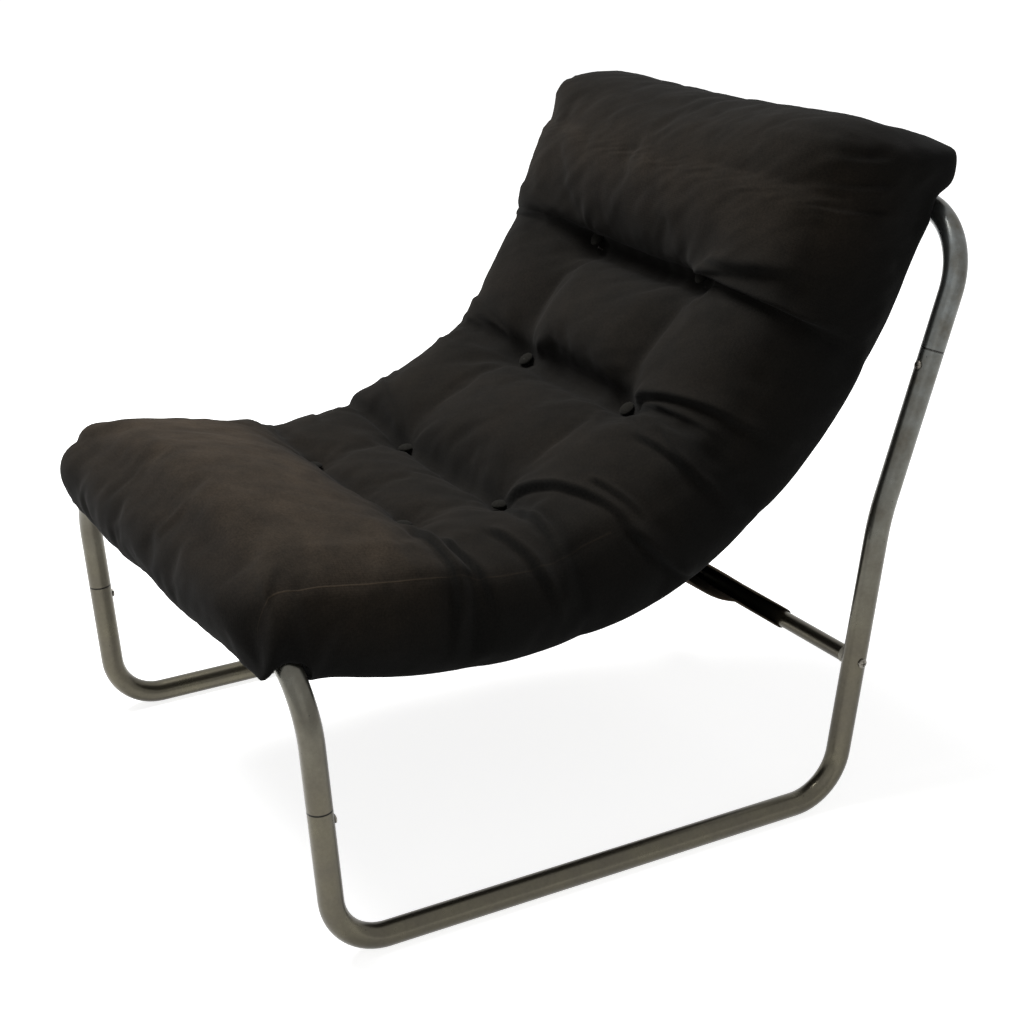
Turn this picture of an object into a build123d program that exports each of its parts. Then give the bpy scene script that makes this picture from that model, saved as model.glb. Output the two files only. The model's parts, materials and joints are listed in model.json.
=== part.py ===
from build123d import *
import os
from math import atan2, cos, degrees, pi, radians, sin, tan

# Tubular steel lounge chair: two bent side frames joined by a front rail, a top rail and a
# rear stretcher, with a canvas sling hung between the rails and a tufted cushion lying on it.
# Millimetres. The sitter faces -Y, +X is the sitter's left, Z is up and the floor is Z = 0.

# Steel tube
tube_diameter = 25.0
tube_wall = 1.5
rail_bend_radius = 80.0
runner_bend_radius = 58.0
kink_radius = 260.0

# Frame, measured on the tubes' centrelines
side_spacing = 602.0
front_corner_y = -341.8
rear_corner_y = 244.2
front_lean = 4.2
rear_lean = 8.2
back_lean = 18.0
kink_height = 320.0
front_rail_height = 308.0
top_rail_height = 624.0
front_joint_drop = 144.0
top_joint_drop = 133.0

# Joints between the side frames and the rails
joint_gap = 0.5
spigot_length = 70.0
spigot_wall = 1.5
spigot_clearance = 0.15
screw_diameter = 5.0
screw_length = 9.0
screw_head_diameter = 9.0
screw_head_height = 2.8
front_screw_drop = 14.0
top_screw_drop = 18.0
hole_clearance = 0.2
thread_clearance = 0.05

# Rear stretcher
stretcher_height = 165.0
stretcher_diameter = 18.0
stretcher_wall = 1.5
saddle_diameter = 19.0
saddle_thickness = 2.5
saddle_cope = 3.6
seat_clearance = 0.05
plug_length = 24.0
plug_clearance = 0.05
bolt_diameter = 6.0
bolt_grip = 18.0
bolt_head_diameter = 10.0
bolt_head_height = 3.2

# Cross recess in the heads of the screws and bolts
recess_depth = 1.6
recess_width = 1.3
recess_share = 0.62

# Canvas
canvas_thickness = 2.0
cloth_clearance = 0.3
sling_width = 430.0
sling_start_angle = -19.7
seat_low_back = 297.5
seat_low_drop = 58.5
hip_ahead = 164.0
hip_drop = 234.0
loop_width = 360.0
loop_seam = 472.0
loop_seam_length = 26.0
loop_belly = 14.0
loop_belly_place = 90.0
loop_belly_radius = 40.0
loop_corner = 4.0
loop_end_flat = 0.4

# Cushion, heights measured from the middle of the sling's canvas, places along the sling
cushion_width = 534.0
side_bulge = 11.0
row_draw_in = 7.0
border_droop = 10.0
shoulder_run = 48.0
seam_below_shoulder = 14.0
seam_slope = 37.0
front_overhang = 34.0
top_overhang = 62.0
end_rounding = 22.0
front_turn = 80.0
top_turn = 70.0
top_tilt = 12.8
tuft_rows = (205.0, 331.0, 560.0, 745.0)
row_shoulders = (93.0, 102.0, 122.0, 127.0)
row_crowns = (80.0, 82.0, 106.0, 106.0)
section_shoulders = (103.0, 101.0, 121.0, 131.0, 159.0)
section_crowns = (118.0, 110.0, 132.0, 143.0, 172.0)
front_shoulder = 74.0
front_crown = 81.0
top_shoulder = 148.0
top_crown = 158.0
puff_power = 0.55
section_steps = 6

# Tufting
tuft_spacing = 210.0
dimple_diameter = 52.0
dimple_depth = 9.0
button_diameter = 15.0
button_height = 5.5
button_rim_height = 2.0
button_underside = 12.8
twine_diameter = 2.0
anchor_diameter = 14.0
anchor_thickness = 2.5

# Worked out from the sizes above
tube_radius = tube_diameter / 2
tube_bore = tube_diameter - 2 * tube_wall
side_x = side_spacing / 2
sides = (("left", 1), ("right", -1))
front_joint_height = front_rail_height - front_joint_drop
top_joint_height = top_rail_height - top_joint_drop
kink_y = rear_corner_y + (kink_height - tube_radius) * tan(radians(rear_lean))


def front_y(height):
    return front_corner_y - (height - tube_radius) * tan(radians(front_lean))


def rear_y(height):
    return rear_corner_y + (height - tube_radius) * tan(radians(rear_lean))


def back_y(height):
    return kink_y + (height - kink_height) * tan(radians(back_lean))


front_axis = Vector(0, -sin(radians(front_lean)), cos(radians(front_lean)))
rear_axis = Vector(0, sin(radians(rear_lean)), cos(radians(rear_lean)))
back_axis = Vector(0, sin(radians(back_lean)), cos(radians(back_lean)))
front_rail_y = front_y(front_rail_height)
top_rail_y = back_y(top_rail_height)
stretcher_y = rear_y(stretcher_height)

os.makedirs("parts", exist_ok=True)


def save(piece, name):
    piece.part.label = name
    export_step(piece.part, f"parts/{name}.step")


def front_joint(x):
    return Vector(x, front_y(front_joint_height), front_joint_height)


def top_joint(x):
    return Vector(x, back_y(top_joint_height), top_joint_height)


# The screws face the cushion: rearwards on the front joints, forwards on the top joints
def front_screw_plane(x):
    out = Vector(0, cos(radians(front_lean)), sin(radians(front_lean)))
    centre = front_joint(x) - front_axis * front_screw_drop
    return Plane(centre + out * tube_radius, x_dir=(1, 0, 0), z_dir=out)


def top_screw_plane(x):
    out = Vector(0, -cos(radians(back_lean)), sin(radians(back_lean)))
    centre = top_joint(x) - back_axis * top_screw_drop
    return Plane(centre + out * tube_radius, x_dir=(1, 0, 0), z_dir=out)


def bolt_plane(side):
    return Plane((side * (side_x + tube_radius), stretcher_y, stretcher_height), z_dir=(side, 0, 0))


def drill(plane, diameter, depth):
    with BuildSketch(plane) as hole:
        Circle(diameter / 2)
    extrude(hole.sketch, amount=-depth, mode=Mode.SUBTRACT)


def cross_head(plane, head_diameter, head_height, shank_diameter, shank_length):
    head_radius = head_diameter / 2
    edge_height = head_height / 2
    with BuildSketch(Plane(plane.origin, x_dir=plane.x_dir, z_dir=-plane.y_dir)) as half_head:
        with BuildLine():
            Line((0, seat_clearance), (head_radius, seat_clearance))
            Line((head_radius, seat_clearance), (head_radius, edge_height))
            TangentArc((0, head_height), (head_radius, edge_height), tangent=(1, 0))
            Line((0, head_height), (0, seat_clearance))
        make_face()
    revolve(half_head.sketch, axis=Axis(plane.origin, plane.z_dir))
    with BuildSketch(plane.offset(seat_clearance)) as shank:
        Circle(shank_diameter / 2)
    extrude(shank.sketch, amount=-shank_length - seat_clearance)
    with BuildSketch(plane.offset(head_height)) as recess:
        Rectangle(head_diameter * recess_share, recess_width)
        Rectangle(recess_width, head_diameter * recess_share)
    extrude(recess.sketch, amount=-recess_depth, mode=Mode.SUBTRACT)


# Side frames: stub, front corner, runner, rear corner, kinked upright, in one bent tube
for name, side in sides:
    x = side * side_x
    with BuildPart() as side_frame:
        with BuildLine() as side_path:
            FilletPolyline(
                front_joint(x) - front_axis * (joint_gap / 2),
                (x, front_corner_y, tube_radius),
                (x, rear_corner_y, tube_radius),
                (x, kink_y, kink_height),
                top_joint(x) - back_axis * (joint_gap / 2),
                radius=[runner_bend_radius, runner_bend_radius, kink_radius],
            )
        with BuildSketch(Plane(side_path.line @ 0, z_dir=side_path.line % 0)):
            Circle(tube_radius)
            Circle(tube_bore / 2, mode=Mode.SUBTRACT)
        sweep()
        drill(front_screw_plane(x), screw_diameter + 2 * hole_clearance, tube_radius)
        drill(top_screw_plane(x), screw_diameter + 2 * hole_clearance, tube_radius)
        drill(bolt_plane(side), bolt_diameter + 2 * hole_clearance, tube_diameter)
    save(side_frame, f"{name}_side_frame")

# Front rail and top rail: a tube bent down at both ends to meet the side frames
rails = (
    ("front_rail", front_joint, front_axis, front_rail_y, front_rail_height),
    ("top_rail", top_joint, back_axis, top_rail_y, top_rail_height),
)
for name, joint, axis, rail_y, rail_height in rails:
    with BuildPart() as rail:
        with BuildLine() as rail_path:
            FilletPolyline(
                joint(side_x) + axis * (joint_gap / 2),
                (side_x, rail_y, rail_height),
                (-side_x, rail_y, rail_height),
                joint(-side_x) + axis * (joint_gap / 2),
                radius=rail_bend_radius,
            )
        with BuildSketch(Plane(rail_path.line @ 0, z_dir=rail_path.line % 0)):
            Circle(tube_radius)
            Circle(tube_bore / 2, mode=Mode.SUBTRACT)
        sweep()
    save(rail, name)

# Spigots: short tubes inside each joint, half in the rail and half in the side frame
spigot_diameter = tube_bore - 2 * spigot_clearance
spigot_joints = (
    ("front", front_joint, front_axis, front_screw_plane),
    ("top", top_joint, back_axis, top_screw_plane),
)
for place, joint, axis, screw_plane in spigot_joints:
    for name, side in sides:
        x = side * side_x
        with BuildPart() as spigot:
            with BuildSketch(Plane(joint(x) - axis * (spigot_length / 2), z_dir=axis)):
                Circle(spigot_diameter / 2)
                Circle(spigot_diameter / 2 - spigot_wall, mode=Mode.SUBTRACT)
            extrude(amount=spigot_length)
            drill(screw_plane(x), screw_diameter + 2 * thread_clearance, tube_radius)
        save(spigot, f"{place}_{name}_spigot")
    with BuildPart() as joint_screws:
        for name, side in sides:
            plane = screw_plane(side * side_x)
            cross_head(plane, screw_head_diameter, screw_head_height, screw_diameter, screw_length)
    save(joint_screws, f"{place}_joint_screws")

# Rear stretcher with its threaded end plugs, coped saddles and bolts
stretcher_end = side_x - tube_radius - saddle_thickness
with BuildPart() as rear_stretcher:
    with BuildSketch(Plane((-stretcher_end, stretcher_y, stretcher_height), z_dir=(1, 0, 0))):
        Circle(stretcher_diameter / 2)
        Circle(stretcher_diameter / 2 - stretcher_wall, mode=Mode.SUBTRACT)
    extrude(amount=2 * stretcher_end)
save(rear_stretcher, "rear_stretcher")

for name, side in sides:
    end_plane = Plane((side * stretcher_end, stretcher_y, stretcher_height), z_dir=(side, 0, 0))
    upright_plane = Plane((side * side_x, stretcher_y, stretcher_height), z_dir=rear_axis)
    with BuildPart() as saddle:
        with BuildSketch(end_plane):
            Circle(saddle_diameter / 2)
            Circle(bolt_diameter / 2 + hole_clearance, mode=Mode.SUBTRACT)
        extrude(amount=saddle_thickness + saddle_cope)
        with BuildSketch(upright_plane):
            Circle(tube_radius + seat_clearance)
        extrude(amount=saddle_diameter, both=True, mode=Mode.SUBTRACT)
    save(saddle, f"{name}_stretcher_saddle")

    with BuildPart() as plug:
        with BuildSketch(end_plane):
            Circle(stretcher_diameter / 2 - stretcher_wall - plug_clearance)
            Circle(bolt_diameter / 2 + thread_clearance, mode=Mode.SUBTRACT)
        extrude(amount=-plug_length)
    save(plug, f"{name}_stretcher_plug")

    with BuildPart() as bolt:
        bolt_length = tube_diameter + saddle_thickness + bolt_grip
        cross_head(bolt_plane(side), bolt_head_diameter, bolt_head_height, bolt_diameter, bolt_length)
    save(bolt, f"{name}_stretcher_bolt")


# Sling: three tangent arcs from under the front rail, through the seat's low point and the hip,
# to the front of the top rail. Points and directions are in the YZ plane.
def turn_over(direction, chord):
    chord = chord.normalized()
    return chord * (2 * chord.dot(direction)) - direction


def normal_of(direction):
    return Vector(-direction.Y, direction.X)


sleeve_radius = tube_radius + cloth_clearance + canvas_thickness / 2
front_rail_centre = Vector(front_rail_y, front_rail_height)
top_rail_centre = Vector(top_rail_y, top_rail_height)
start_direction = Vector(cos(radians(sling_start_angle)), sin(radians(sling_start_angle)))
sling_front = front_rail_centre - normal_of(start_direction) * sleeve_radius
seat_low = front_rail_centre + Vector(seat_low_back, -seat_low_drop)
hip = top_rail_centre - Vector(hip_ahead, hip_drop)
seat_direction = turn_over(start_direction, seat_low - sling_front)
hip_direction = turn_over(seat_direction, hip - seat_low)
# The last arc leaves the hip and touches the sleeve round the top rail
hip_normal = normal_of(hip_direction)
to_hip = hip - top_rail_centre
back_reach = 2 * (sleeve_radius - hip_normal.dot(to_hip))
back_radius = (to_hip.dot(to_hip) - sleeve_radius**2) / back_reach
back_normal = (to_hip + hip_normal * back_radius) / (sleeve_radius + back_radius)
back_direction = Vector(back_normal.Y, -back_normal.X)
sling_top = top_rail_centre + back_normal * sleeve_radius
sling_points = (sling_front, seat_low, hip, sling_top)
sling_directions = (start_direction, seat_direction, hip_direction, back_direction)


def sling_arcs(height):
    line = []
    for point, direction in zip(sling_points, sling_directions):
        line.append(point + normal_of(direction) * height)
    for start, end, direction in zip(line, line[1:], sling_directions):
        TangentArc(start, end, tangent=direction)
    return line[0], line[-1]


with BuildPart() as canvas_sling:
    with BuildSketch(Plane.YZ.offset(-sling_width / 2)):
        with BuildLine():
            upper_start, upper_end = sling_arcs(canvas_thickness / 2)
            lower_start, lower_end = sling_arcs(-canvas_thickness / 2)
            Line(upper_start, lower_start)
            Line(upper_end, lower_end)
        make_face()
        with Locations(front_rail_centre, top_rail_centre):
            Circle(sleeve_radius + canvas_thickness / 2)
            Circle(tube_radius + cloth_clearance, mode=Mode.SUBTRACT)
    extrude(amount=sling_width)
save(canvas_sling, "canvas_sling")

with BuildLine() as sling_line:
    sling_arcs(0)
sling_wire = sling_line.wire()
sling_length = sling_wire.length


def sling_plane(distance):
    point = sling_wire.position_at(distance, position_mode=PositionMode.LENGTH)
    direction = sling_wire.tangent_at(distance, position_mode=PositionMode.LENGTH)
    return Plane((0, point.X, point.Y), x_dir=(1, 0, 0), z_dir=(0, -direction.X, -direction.Y))


# Stretcher loop: a band of canvas sewn under the sling and wrapped round the rear stretcher
def under_sling(distance):
    place = sling_plane(distance)
    point = place.origin - place.y_dir * (canvas_thickness / 2 + cloth_clearance)
    return Vector(point.Y, point.Z)


loop_radius = stretcher_diameter / 2 + cloth_clearance + canvas_thickness
stretcher_centre = Vector(stretcher_y, stretcher_height)
upper_seam = under_sling(loop_seam + loop_seam_length / 2)
lower_seam = under_sling(loop_seam - loop_seam_length / 2)
loop_along = (stretcher_centre - (upper_seam + lower_seam) * 0.5).normalized()
loop_across = normal_of(loop_along) * loop_radius
loop_end = stretcher_centre + loop_along * loop_radius
loop_end_radius = loop_radius - loop_end_flat / 2
belly = lower_seam + loop_along * loop_belly_place - normal_of(loop_along) * loop_belly
with BuildPart() as stretcher_loop:
    with BuildSketch(Plane.YZ.offset(-loop_width / 2)):
        with BuildLine():
            FilletPolyline(
                lower_seam,
                belly,
                loop_end - loop_across,
                loop_end + loop_across,
                upper_seam,
                radius=[loop_corner, loop_belly_radius, loop_end_radius, loop_end_radius, loop_corner],
                close=True,
            )
        make_face()
        offset(amount=-canvas_thickness, mode=Mode.SUBTRACT)
    extrude(amount=loop_width)
save(stretcher_loop, "stretcher_loop")


# Cushion: a boxed mattress in five puffed sections, lofted through outlines across the sling
def cushion_plane(distance):
    along = min(max(distance, 0), sling_length)
    point = sling_wire.position_at(along, position_mode=PositionMode.LENGTH)
    direction = sling_wire.tangent_at(along, position_mode=PositionMode.LENGTH)
    angle = degrees(atan2(direction.Y, direction.X))
    if along < front_turn:
        angle *= along / front_turn
    if along > sling_length - top_turn:
        angle += top_tilt * (along - sling_length + top_turn) / top_turn
    heading = Vector(cos(radians(angle)), sin(radians(angle)))
    base = point + heading * (distance - along)
    return Plane((0, base.X, base.Y), x_dir=(1, 0, 0), z_dir=(0, -heading.X, -heading.Y))


def cushion_outline(distance, half_width, bottom, shoulder, crown):
    base = half_width - side_bulge
    seam = shoulder - seam_below_shoulder
    with BuildSketch(cushion_plane(distance)) as outline:
        with BuildLine():
            Line((-base, bottom), (base, bottom))
            for side in (1, -1):
                on_side = (side * half_width, (bottom + seam) / 2)
                on_seam = (side * base, seam)
                on_shoulder = (side * (base - shoulder_run), shoulder)
                inwards = (-side * cos(radians(seam_slope)), sin(radians(seam_slope)))
                ThreePointArc((side * base, bottom), on_side, on_seam)
                TangentArc(on_seam, on_shoulder, tangent=inwards)
            ThreePointArc((base - shoulder_run, shoulder), (0, crown), (shoulder_run - base, shoulder))
        make_face()
    return outline.sketch


def puffed(start, middle, end, share):
    straight = start + (end - start) * share
    puff = (1 - (2 * share - 1) ** 2) ** puff_power
    return straight + (middle - (start + end) / 2) * puff


def end_outline(edge, way, turn, shoulder, crown):
    inset = end_rounding * (1 - cos(radians(turn)))
    reach = edge + way * end_rounding * sin(radians(turn))
    bottom = inset - border_droop
    return cushion_outline(reach, half_width - inset, bottom, shoulder - inset, crown - inset)


half_width = cushion_width / 2
front_edge = -front_overhang + end_rounding
top_edge = sling_length + top_overhang - end_rounding
edges = (front_edge, *tuft_rows, top_edge)
edge_shoulders = (front_shoulder, *row_shoulders, top_shoulder)
edge_crowns = (front_crown, *row_crowns, top_crown)
outlines = []
for turn in (90, 45):
    outlines.append(end_outline(front_edge, -1, turn, front_shoulder, front_crown))
for number in range(len(section_crowns)):
    is_last = number == len(section_crowns) - 1
    for step in range(section_steps + is_last):
        share = (1 - cos(pi * step / section_steps)) / 2
        distance = edges[number] + (edges[number + 1] - edges[number]) * share
        start_width = half_width - row_draw_in * (number > 0)
        end_width = half_width - row_draw_in * (not is_last)
        width = puffed(start_width, half_width, end_width, share)
        shoulder_ends = edge_shoulders[number : number + 2]
        shoulder = puffed(shoulder_ends[0], section_shoulders[number], shoulder_ends[1], share)
        crown_ends = edge_crowns[number : number + 2]
        crown = puffed(crown_ends[0], section_crowns[number], crown_ends[1], share)
        outlines.append(cushion_outline(distance, width, -border_droop, shoulder, crown))
for turn in (45, 90):
    outlines.append(end_outline(top_edge, 1, turn, top_shoulder, top_crown))

# Cut away for the sling under it, the rails it lies on, and its own tufting
recess_half = sling_width / 2 + 2 * cloth_clearance
sleeve_slot = sleeve_radius + canvas_thickness / 2 + cloth_clearance
tube_slot = tube_radius + 2 * cloth_clearance
cushion_bottom = canvas_thickness / 2 + cloth_clearance
tuft_share = tuft_spacing / (cushion_width - 2 * (side_bulge + row_draw_in + shoulder_run))
dimple_radius = dimple_diameter / 2
dimple_sphere = (dimple_radius**2 + dimple_depth**2) / (2 * dimple_depth)
tuft_planes = []
for distance, shoulder, crown in zip(tuft_rows, row_shoulders, row_crowns):
    for side in (1, -1):
        row = sling_plane(distance)
        spot = Plane(row.origin + row.x_dir * (side * tuft_spacing / 2), row.x_dir, row.y_dir)
        tuft_planes.append((spot, crown + (shoulder - crown) * tuft_share**2 - dimple_depth))
below = Vector(0, -border_droop - rail_bend_radius)
behind = Vector(border_droop + rail_bend_radius, 0)
down_the_back = Vector(back_axis.Y, back_axis.Z) * (-rail_bend_radius / 2)

with BuildPart() as cushion:
    loft(outlines, ruled=True)
    with BuildSketch(Plane.YZ.offset(-recess_half)):
        with BuildLine():
            recess_start, recess_end = sling_arcs(cushion_bottom)
            past_sleeve = recess_end + back_direction * sleeve_slot
            under_front = recess_start + below
            under_rear = Vector(past_sleeve.X + behind.X, under_front.Y)
            Polyline(recess_end, past_sleeve, past_sleeve + behind, under_rear, under_front, recess_start)
        make_face()
    extrude(amount=2 * recess_half, mode=Mode.SUBTRACT)
    with BuildSketch(Plane.YZ.offset(-half_width - side_bulge)):
        with Locations(front_rail_centre):
            Circle(sleeve_slot)
        with Locations(front_rail_centre + below * 0.5):
            Rectangle(2 * sleeve_slot, -below.Y)
        with Locations(top_rail_centre):
            Circle(tube_slot)
        with Locations(Location(top_rail_centre + down_the_back, -back_lean)):
            Rectangle(2 * tube_slot, rail_bend_radius)
    extrude(amount=2 * (half_width + side_bulge), mode=Mode.SUBTRACT)
    for plane, depth in tuft_planes:
        with Locations(plane.offset(depth + dimple_sphere)):
            Sphere(dimple_sphere, mode=Mode.SUBTRACT)
        with BuildSketch(plane):
            Circle(twine_diameter / 2 + cloth_clearance)
        extrude(amount=depth + dimple_depth, mode=Mode.SUBTRACT)
        with BuildSketch(plane):
            Circle(anchor_diameter / 2 + cloth_clearance)
        extrude(amount=cushion_bottom + anchor_thickness + 2 * cloth_clearance, mode=Mode.SUBTRACT)
save(cushion, "mattress_cushion")

# Tufting: covered buttons in the dimples, twine through the cushion, anchors between it and the sling
row_names = ("front_roll", "seat", "back", "headrest")
button_radius = button_diameter / 2
button_seat = dimple_sphere - (dimple_sphere**2 - button_radius**2) ** 0.5 + cloth_clearance
for number, name in enumerate(row_names):
    with BuildPart() as buttons:
        for plane, depth in tuft_planes[2 * number : 2 * number + 2]:
            with BuildSketch(Plane(plane.origin, x_dir=plane.x_dir, z_dir=-plane.y_dir)) as half_button:
                with BuildLine():
                    under = depth + button_seat
                    top = (0, under + button_height)
                    rim = (button_radius, under + button_rim_height)
                    Polyline(top, (0, under), (button_underside / 2, under), rim)
                    TangentArc(top, rim, tangent=(1, 0))
                make_face()
            revolve(axis=Axis(plane.origin, plane.z_dir))
    save(buttons, f"{name}_buttons")

with BuildPart() as tuft_twines:
    for plane, depth in tuft_planes:
        anchor_top = cushion_bottom + cloth_clearance + anchor_thickness
        with BuildSketch(plane.offset(anchor_top)):
            Circle(twine_diameter / 2)
        extrude(amount=depth + button_seat - anchor_top)
save(tuft_twines, "tuft_twines")

with BuildPart() as tuft_anchors:
    for plane, depth in tuft_planes:
        with BuildSketch(plane.offset(cushion_bottom + cloth_clearance)):
            Circle(anchor_diameter / 2)
        extrude(amount=anchor_thickness)
save(tuft_anchors, "tuft_anchors")
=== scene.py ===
import json
from math import atan2, ceil, cos, pi, radians, sin, sqrt

import bmesh
import bpy
import numpy as np
from mathutils import Matrix, Vector, geometry, noise


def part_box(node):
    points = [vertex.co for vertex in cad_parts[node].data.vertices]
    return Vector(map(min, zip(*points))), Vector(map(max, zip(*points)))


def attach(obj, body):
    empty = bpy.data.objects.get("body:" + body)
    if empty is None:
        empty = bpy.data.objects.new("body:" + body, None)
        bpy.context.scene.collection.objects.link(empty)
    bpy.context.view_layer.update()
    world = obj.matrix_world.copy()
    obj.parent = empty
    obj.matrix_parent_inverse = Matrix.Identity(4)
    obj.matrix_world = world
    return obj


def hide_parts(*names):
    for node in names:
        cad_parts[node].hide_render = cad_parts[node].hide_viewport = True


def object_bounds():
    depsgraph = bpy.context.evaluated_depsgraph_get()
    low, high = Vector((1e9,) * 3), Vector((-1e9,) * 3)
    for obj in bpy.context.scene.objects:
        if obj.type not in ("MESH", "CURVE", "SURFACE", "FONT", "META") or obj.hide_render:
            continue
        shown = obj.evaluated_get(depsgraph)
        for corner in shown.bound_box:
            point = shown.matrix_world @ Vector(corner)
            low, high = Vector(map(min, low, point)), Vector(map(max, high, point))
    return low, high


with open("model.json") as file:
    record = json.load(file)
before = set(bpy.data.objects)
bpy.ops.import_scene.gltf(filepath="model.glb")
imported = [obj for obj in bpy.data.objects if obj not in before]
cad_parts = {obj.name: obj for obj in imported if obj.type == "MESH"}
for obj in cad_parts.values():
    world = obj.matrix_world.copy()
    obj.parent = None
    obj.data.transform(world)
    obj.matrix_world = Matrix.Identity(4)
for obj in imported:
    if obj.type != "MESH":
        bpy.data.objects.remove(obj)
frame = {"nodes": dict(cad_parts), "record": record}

# tubular steel lounge chair with a tufted canvas cushion, metres, the sitter faces -Y
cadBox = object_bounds()
scene = bpy.context.scene
mm = 0.001


# camera at the photograph's viewing angle
cameraSettings = {
    "place": (1.7371, -0.9834, 1.0542),
    "azimuth": 60.91,
    "elevation": 20.28,
    "roll": -0.69,
    "lens": 68.66,
    "shift": (0.0333, -0.0271),
}


def makeCamera(settings):
    turn, lift = radians(settings["azimuth"]), radians(settings["elevation"])
    back = Vector((sin(turn) * cos(lift), -cos(turn) * cos(lift), sin(lift)))
    level = Vector((0, 0, 1)).cross(back).normalized()
    upright = back.cross(level)
    roll = radians(settings["roll"])
    right = level * cos(roll) + upright * sin(roll)
    up = upright * cos(roll) - level * sin(roll)
    data = bpy.data.cameras.new("camera")
    data.lens = settings["lens"]
    data.shift_x, data.shift_y = settings["shift"]
    camera = bpy.data.objects.new("camera", data)
    scene.collection.objects.link(camera)
    turned = Matrix((right, up, back)).transposed().to_4x4()
    camera.matrix_world = Matrix.Translation(settings["place"]) @ turned
    scene.camera = camera


makeCamera(cameraSettings)


# tubes that carry the canvas: sizes and leans as in the CAD, places read from the frame
tube = {"radius": 12.5 * mm, "bend": 80 * mm, "spacing": 602 * mm, "frontLean": 4.2, "topLean": -18.0}


def railCentre(node, atBack):
    low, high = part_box(node)
    y = high.y - tube["radius"] if atBack else low.y + tube["radius"]
    return Vector((y, high.z - tube["radius"]))


frontRail = railCentre("front_rail", False)
topRail = railCentre("top_rail", True)
low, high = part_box("rear_stretcher")
stretcher = Vector(((low.y + high.y) / 2, (low.z + high.z) / 2))
stretcherRadius = (high.z - low.z) / 2


# how far a rail has bent down at this distance from the chair's middle, up to near its straight leg
def railDrop(x):
    past = np.clip(np.abs(x) - (tube["spacing"] / 2 - tube["bend"]), 0.0, 0.98 * tube["bend"])
    return tube["bend"] - np.sqrt(tube["bend"] ** 2 - past**2)


# where a rail's leg meets the side frame, and the leg's direction there
def railJoint(node, rail, lean):
    slope = radians(lean)
    down = Vector((0, sin(slope), -cos(slope)))
    reach = (rail.y - tube["radius"] * abs(sin(slope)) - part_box(node)[0].z) / cos(slope)
    return Vector((0, rail.x, rail.y)) + down * reach, down


# colours are written as sRGB hex and turned to linear here
def linear(hexColour):
    channels = [int(hexColour[i : i + 2], 16) / 255 for i in (1, 3, 5)]
    return [c / 12.92 if c <= 0.04045 else ((c + 0.055) / 1.055) ** 2.4 for c in channels] + [1.0]


def addNode(tree, kind, inputs=None, stops=None, **settings):
    node = tree.nodes.new(kind)
    for name, value in settings.items():
        setattr(node, name, value)
    if stops:
        for element, (place, grey) in zip(node.color_ramp.elements, stops):
            element.position = place
            element.color = (grey, grey, grey, 1)
    for socket, value in (inputs or {}).items():
        if isinstance(value, bpy.types.NodeSocket):
            tree.links.new(value, node.inputs[socket])
        else:
            node.inputs[socket].default_value = value
    return node


def newMaterial(name):
    material = bpy.data.materials.new(name)
    material.use_nodes = True
    tree = material.node_tree
    return material, tree, tree.nodes["Principled BSDF"]


# sockets of the colour Mix node, which has several with the same name
mixA, mixB, mixOut = 6, 7, 2


# painted shade in the narrow gap where a rail's leg meets the side frame: a dark ring, as its share of the
# colour
def jointGapShade(tree, place, centre, axis):
    reach, darkWidth, paleWidth = 30 * mm, 0.5 * mm, 1.3 * mm
    sideways = addNode(tree, "ShaderNodeVectorMath", {0: place, 1: (0, 1, 1)}, operation="MULTIPLY")
    flat = sideways.outputs["Vector"]
    away = addNode(tree, "ShaderNodeVectorMath", {0: flat, 1: centre}, operation="DISTANCE")
    near = addNode(tree, "ShaderNodeMath", {0: away.outputs["Value"], 1: reach}, operation="LESS_THAN")
    lifted = addNode(tree, "ShaderNodeVectorMath", {0: flat, 1: centre}, operation="SUBTRACT")
    along = addNode(tree, "ShaderNodeVectorMath",
                    {0: lifted.outputs["Vector"], 1: axis}, operation="DOT_PRODUCT")
    off = addNode(tree, "ShaderNodeMath", {0: along.outputs["Value"]}, operation="ABSOLUTE")
    ring = addNode(tree, "ShaderNodeMapRange", {"Value": off.outputs["Value"], "From Min": darkWidth,
                                                "From Max": paleWidth, "To Min": 1.0, "To Max": 0.0})
    share = addNode(tree, "ShaderNodeMath",
                    {0: ring.outputs["Result"], 1: near.outputs["Value"]}, operation="MULTIPLY")
    return share.outputs["Value"]
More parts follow.
